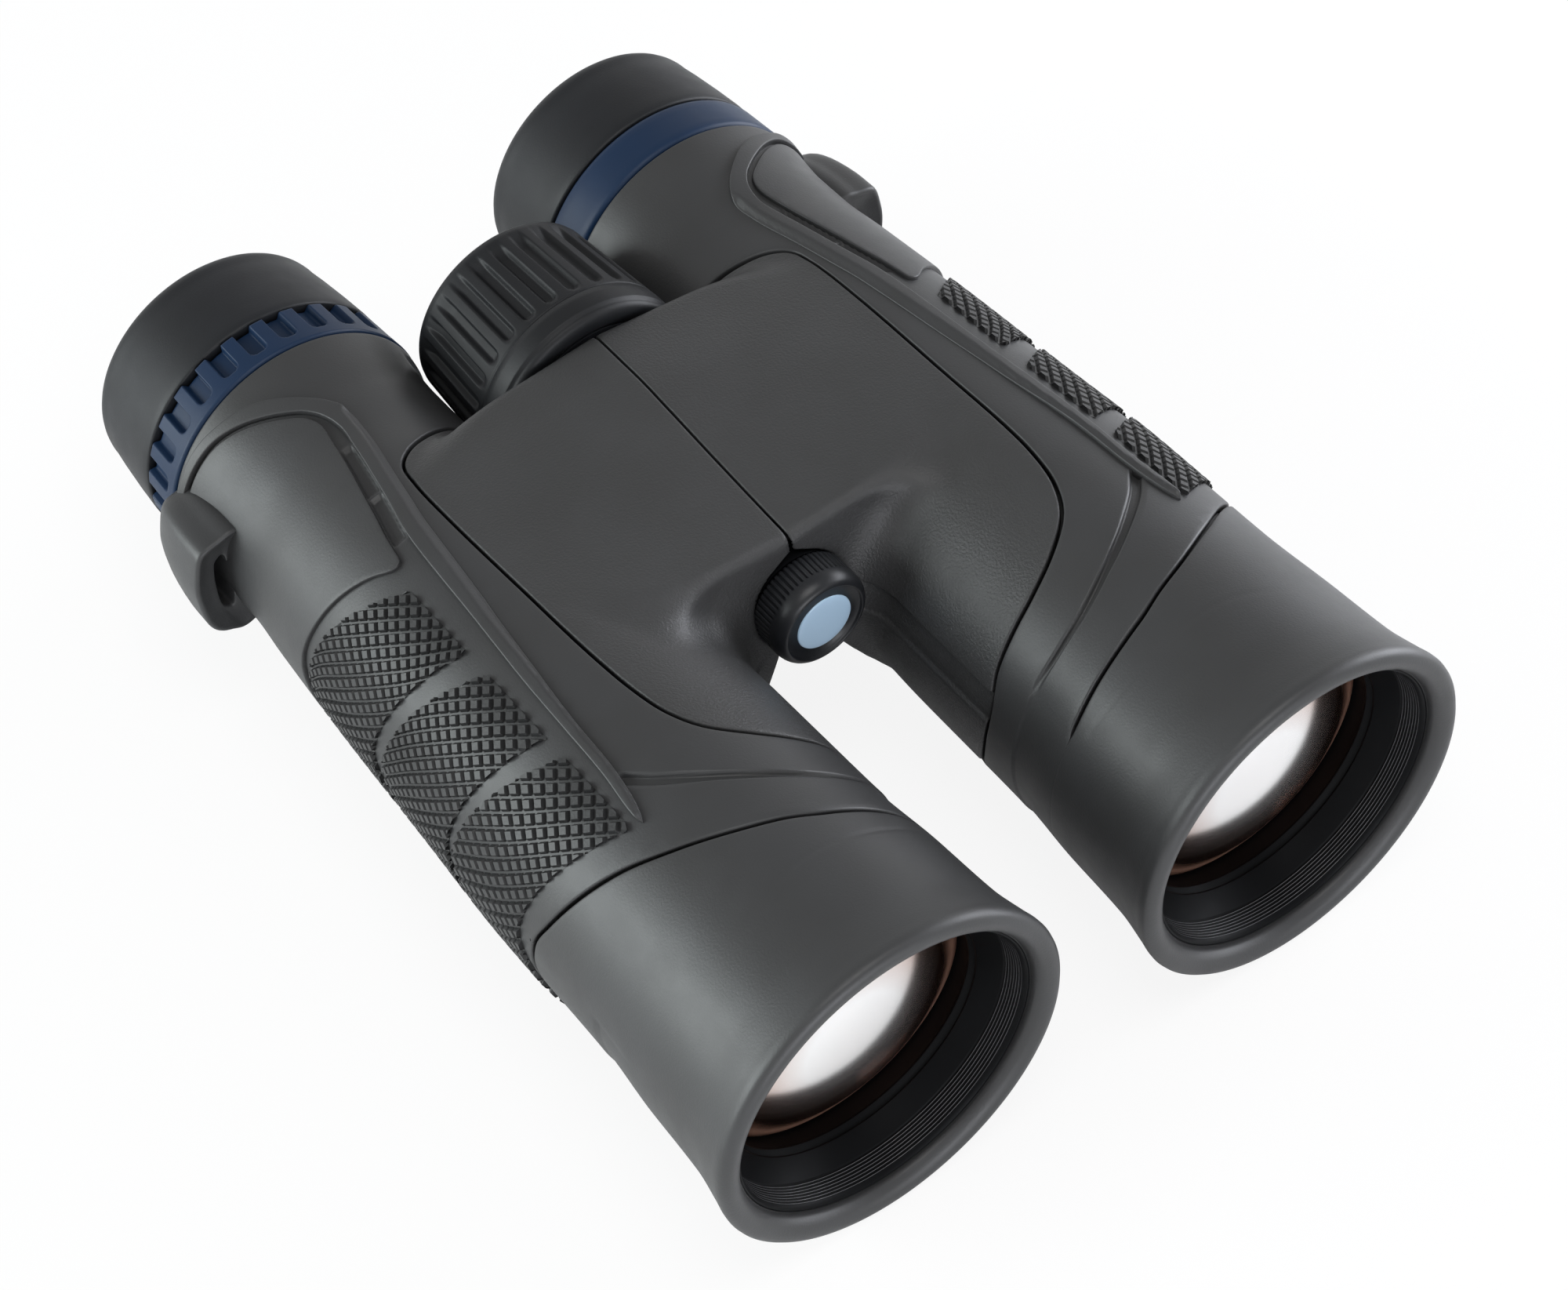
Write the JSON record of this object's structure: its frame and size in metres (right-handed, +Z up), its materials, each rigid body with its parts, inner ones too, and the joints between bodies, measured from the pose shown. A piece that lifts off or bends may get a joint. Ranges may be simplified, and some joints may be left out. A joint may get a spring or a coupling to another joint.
{
  "type": "binoculars",
  "caption": "Roof-prism binoculars with rubber-armoured barrels on a folding bridge, centre focus wheel, diopter ring, twist-up eyecups and strap lugs.",
  "frame": {"origin": "centre of the footprint on the surface the binoculars lie on, midway between the two barrels and midway along them", "axes": "+Y along the barrels towards the eyepieces, +Z up, +X towards the user's left barrel"},
  "size_m": [0.133, 0.1764, 0.059],
  "materials": {
    "alloy": "cast magnesium alloy tube and bridge with a dark grey satin coat",
    "skin_rubber": "dark grey armour rubber with moulded grip pads, matt",
    "plate_rubber": "dark grey cover with a fine leather grain, matt",
    "black_anodised": "black anodised, satin to gloss",
    "bare_alloy": "machined, bare",
    "steel": "ground",
    "brass": "machined",
    "coated_glass": "multi-coated optical glass with a reddish reflection",
    "prism_glass": "polished prism glass",
    "black_plastic": "black moulded plastic",
    "eyecup_rubber": "blue-black soft rubber, matt",
    "wheel_rubber": "black ribbed rubber",
    "blue_plastic": "dark navy blue moulded plastic",
    "inlay": "pale blue plain disc"
  },
  "bodies": {
    "right_barrel": {"right_chassis": "alloy", "right_body_skin": "skin_rubber", "right_bell_cover": "skin_rubber", "right_bridge_plate": "plate_rubber", "right_baffle_ring": "black_anodised", "right_lens_retainer": "black_anodised", "right_objective_cell": "black_anodised", "right_crown_lens": "coated_glass", "right_flint_lens": "coated_glass", "right_prism_cage": "black_anodised", "right_half_prism": "prism_glass", "right_roof_prism": "prism_glass", "right_eyepiece_tube": "black_anodised", "right_eye_lens": "coated_glass", "right_eye_retainer": "black_anodised", "hinge_shaft": "steel", "hinge_washers": "steel", "hinge_nut": "black_anodised", "tripod_socket": "brass", "focus_shroud": "black_plastic"},
    "left_barrel": {"left_chassis": "alloy", "left_body_skin": "skin_rubber", "left_bell_cover": "skin_rubber", "left_bridge_plate": "plate_rubber", "left_baffle_ring": "black_anodised", "left_lens_retainer": "black_anodised", "left_objective_cell": "black_anodised", "left_crown_lens": "coated_glass", "left_flint_lens": "coated_glass", "left_prism_cage": "black_anodised", "left_half_prism": "prism_glass", "left_roof_prism": "prism_glass", "left_eyepiece_tube": "black_anodised", "left_field_cell": "black_anodised", "left_field_lens": "coated_glass", "left_eye_lens": "coated_glass", "left_eye_retainer": "black_anodised", "trim_ring": "blue_plastic", "hinge_bushes": "brass"},
    "focus_wheel": {"wheel_hub": "black_plastic", "wheel_grip": "wheel_rubber", "wheel_cap": "black_plastic", "focus_screw": "steel"},
    "focus_carriage": {"focus_carriage": "bare_alloy", "focus_nut": "brass"},
    "right_focus_cell": {"right_focus_cell": "bare_alloy", "right_focus_lens": "coated_glass"},
    "left_focus_cell": {"left_focus_cell": "bare_alloy", "left_focus_lens": "coated_glass"},
    "diopter_ring": {"diopter_ring": "blue_plastic"},
    "right_field_cell": {"right_field_cell": "black_anodised", "right_field_lens": "coated_glass", "diopter_pin": "steel"},
    "right_eyecup_guide": {"right_eyecup_guide": "black_plastic"},
    "right_eyecup": {"right_eyecup": "eyecup_rubber"},
    "left_eyecup_guide": {"left_eyecup_guide": "black_plastic"},
    "left_eyecup": {"left_eyecup": "eyecup_rubber"},
    "front_cap": {"front_cap": "black_plastic", "cap_inlay": "inlay"}
  },
  "joints": [
    {"name": "interpupillary_hinge", "type": "hinge", "parent": "right_barrel", "child": "left_barrel", "pos_m": [0, 0, 0.0406], "axis": [0, 1, 0], "range_deg": [0, 44]},
    {"name": "focus_wheel_turn", "type": "hinge", "parent": "right_barrel", "child": "focus_wheel", "pos_m": [0, 0, 0.0406], "axis": [0, 1, 0], "range_deg": [-225, 225]},
    {"name": "focus_carriage_slide", "type": "slide", "parent": "right_barrel", "child": "focus_carriage", "axis": [0, 1, 0], "range_m": [-0.004, 0.004]},
    {"name": "right_focus_slide", "type": "slide", "parent": "right_barrel", "child": "right_focus_cell", "axis": [0, 1, 0], "range_m": [-0.004, 0.004]},
    {"name": "left_focus_slide", "type": "slide", "parent": "left_barrel", "child": "left_focus_cell", "axis": [0, 1, 0], "range_m": [-0.004, 0.004]},
    {"name": "diopter_turn", "type": "hinge", "parent": "right_barrel", "child": "diopter_ring", "pos_m": [-0.037, 0, 0.0295], "axis": [0, 1, 0], "range_deg": [-50, 50]},
    {"name": "diopter_slide", "type": "slide", "parent": "right_barrel", "child": "right_field_cell", "axis": [0, 1, 0], "range_m": [-0.0012, 0.0012]},
    {"name": "right_eyecup_turn", "type": "hinge", "parent": "right_barrel", "child": "right_eyecup_guide", "pos_m": [-0.037, 0, 0.0295], "axis": [0, 1, 0], "range_deg": [0, 150]},
    {"name": "right_eyecup_slide", "type": "slide", "parent": "right_eyecup_guide", "child": "right_eyecup", "axis": [0, 1, 0], "range_m": [0, 0.008]},
    {"name": "left_eyecup_turn", "type": "hinge", "parent": "left_barrel", "child": "left_eyecup_guide", "pos_m": [0.037, 0, 0.0295], "axis": [0, 1, 0], "range_deg": [0, 150]},
    {"name": "left_eyecup_slide", "type": "slide", "parent": "left_eyecup_guide", "child": "left_eyecup", "axis": [0, 1, 0], "range_m": [0, 0.008]},
    {"name": "front_cap_pull", "type": "slide", "parent": "right_barrel", "child": "front_cap", "axis": [0, -1, 0], "range_m": [0, 0.03]}
  ],
  "couplings": [
    {"joint": "focus_carriage_slide", "follows": "focus_wheel_turn", "m_per_rad": 0.001018},
    {"joint": "right_focus_slide", "follows": "focus_wheel_turn", "m_per_rad": 0.001018},
    {"joint": "left_focus_slide", "follows": "focus_wheel_turn", "m_per_rad": 0.001018},
    {"joint": "diopter_slide", "follows": "diopter_turn", "m_per_rad": 0.001374},
    {"joint": "right_eyecup_slide", "follows": "right_eyecup_turn", "m_per_rad": 0.003055},
    {"joint": "left_eyecup_slide", "follows": "left_eyecup_turn", "m_per_rad": 0.003055}
  ]
}
